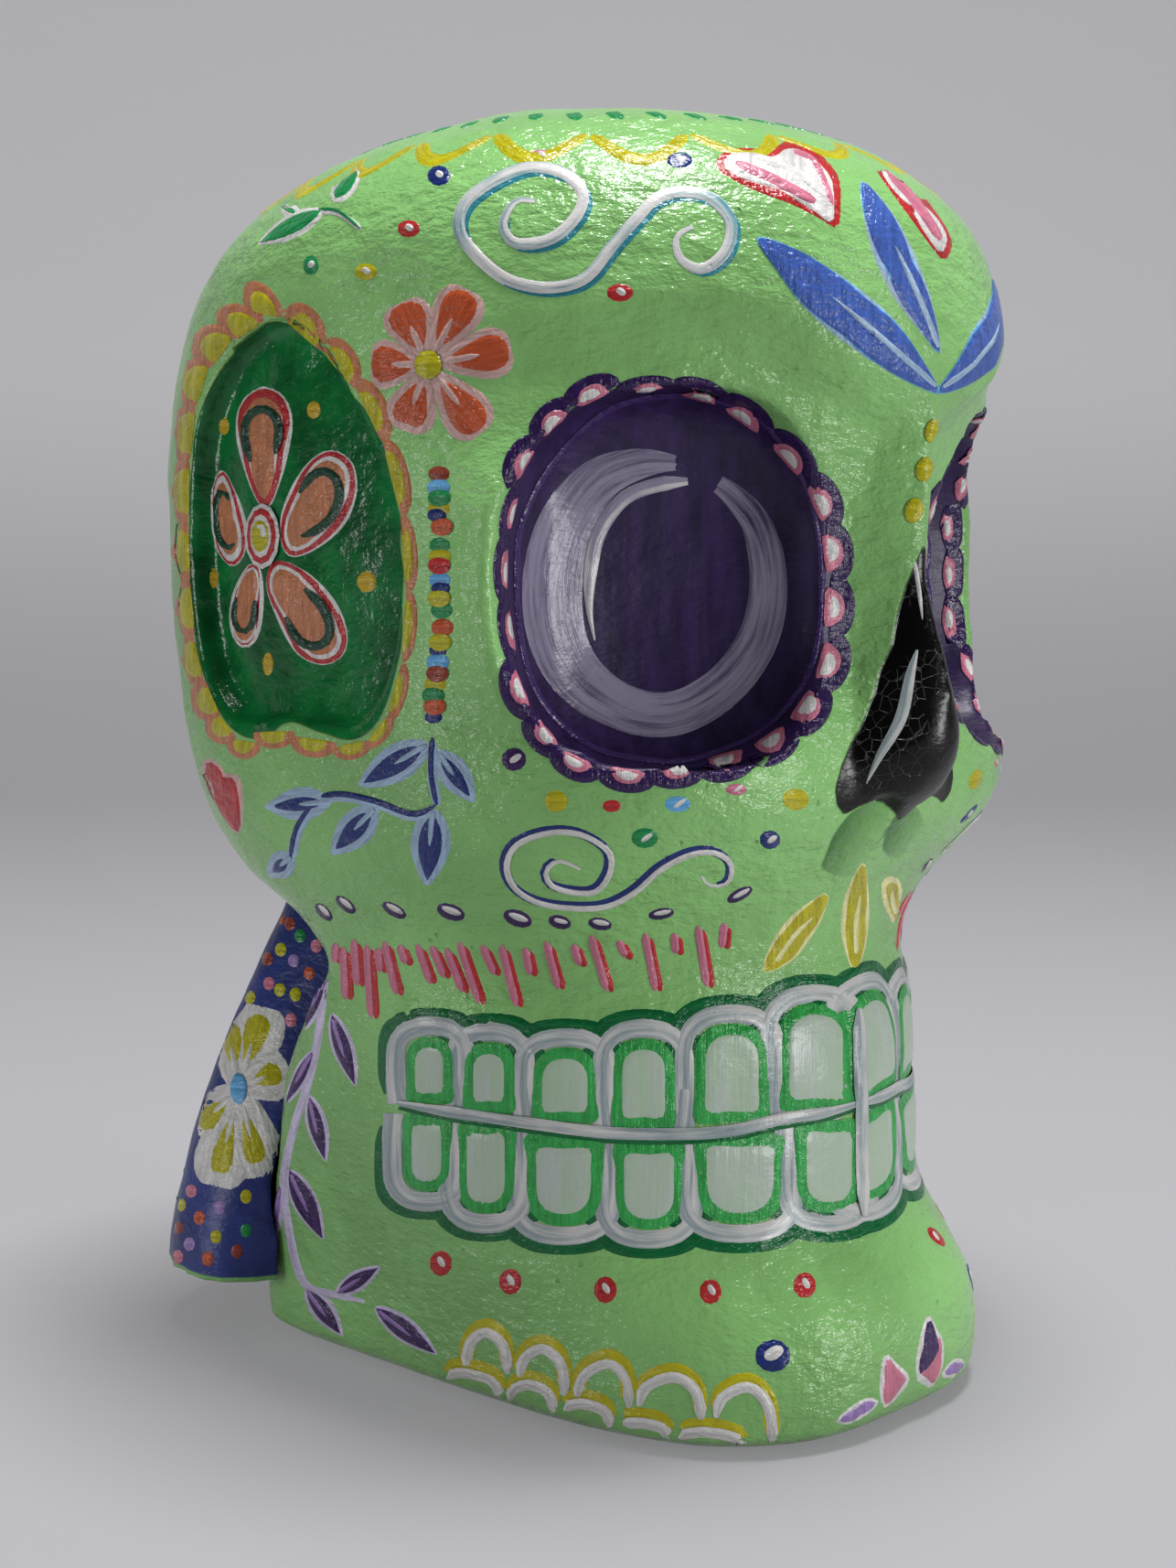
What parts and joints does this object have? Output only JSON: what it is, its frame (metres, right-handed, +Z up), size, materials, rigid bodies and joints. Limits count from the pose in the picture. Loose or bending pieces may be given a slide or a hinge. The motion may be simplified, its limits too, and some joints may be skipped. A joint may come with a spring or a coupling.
{
  "type": "sugar skull",
  "caption": "Hollow papier-mache skull with deep eye sockets, a wedge nose and rows of teeth, standing on its flat jaw with a flared neck behind, painted with flowers, leaves, dots and swirls.",
  "frame": {"origin": "on the floor, in the middle of the box round the skull", "axes": "+Z up, the face looks towards -Y, the skull's own right side is at -X"},
  "size_m": [0.1628, 0.193, 0.268],
  "materials": {
    "painted_head": "papier-mache, pastel green paint with hand-painted ornament under gloss varnish",
    "painted_neck": "papier-mache, dark blue paint with dots and flowers under gloss varnish",
    "bare_paper": "pasted brown paper, matt"
  },
  "bodies": {
    "root": {"right_half_shell": "painted_head", "left_half_shell": "painted_head", "neck_right_half": "painted_neck", "neck_left_half": "painted_neck", "seam_strip_crown": "bare_paper", "seam_strip_base": "bare_paper", "seam_strip_face": "bare_paper", "seam_strip_back": "bare_paper", "neck_seam_strip": "bare_paper"}
  },
  "joints": []
}
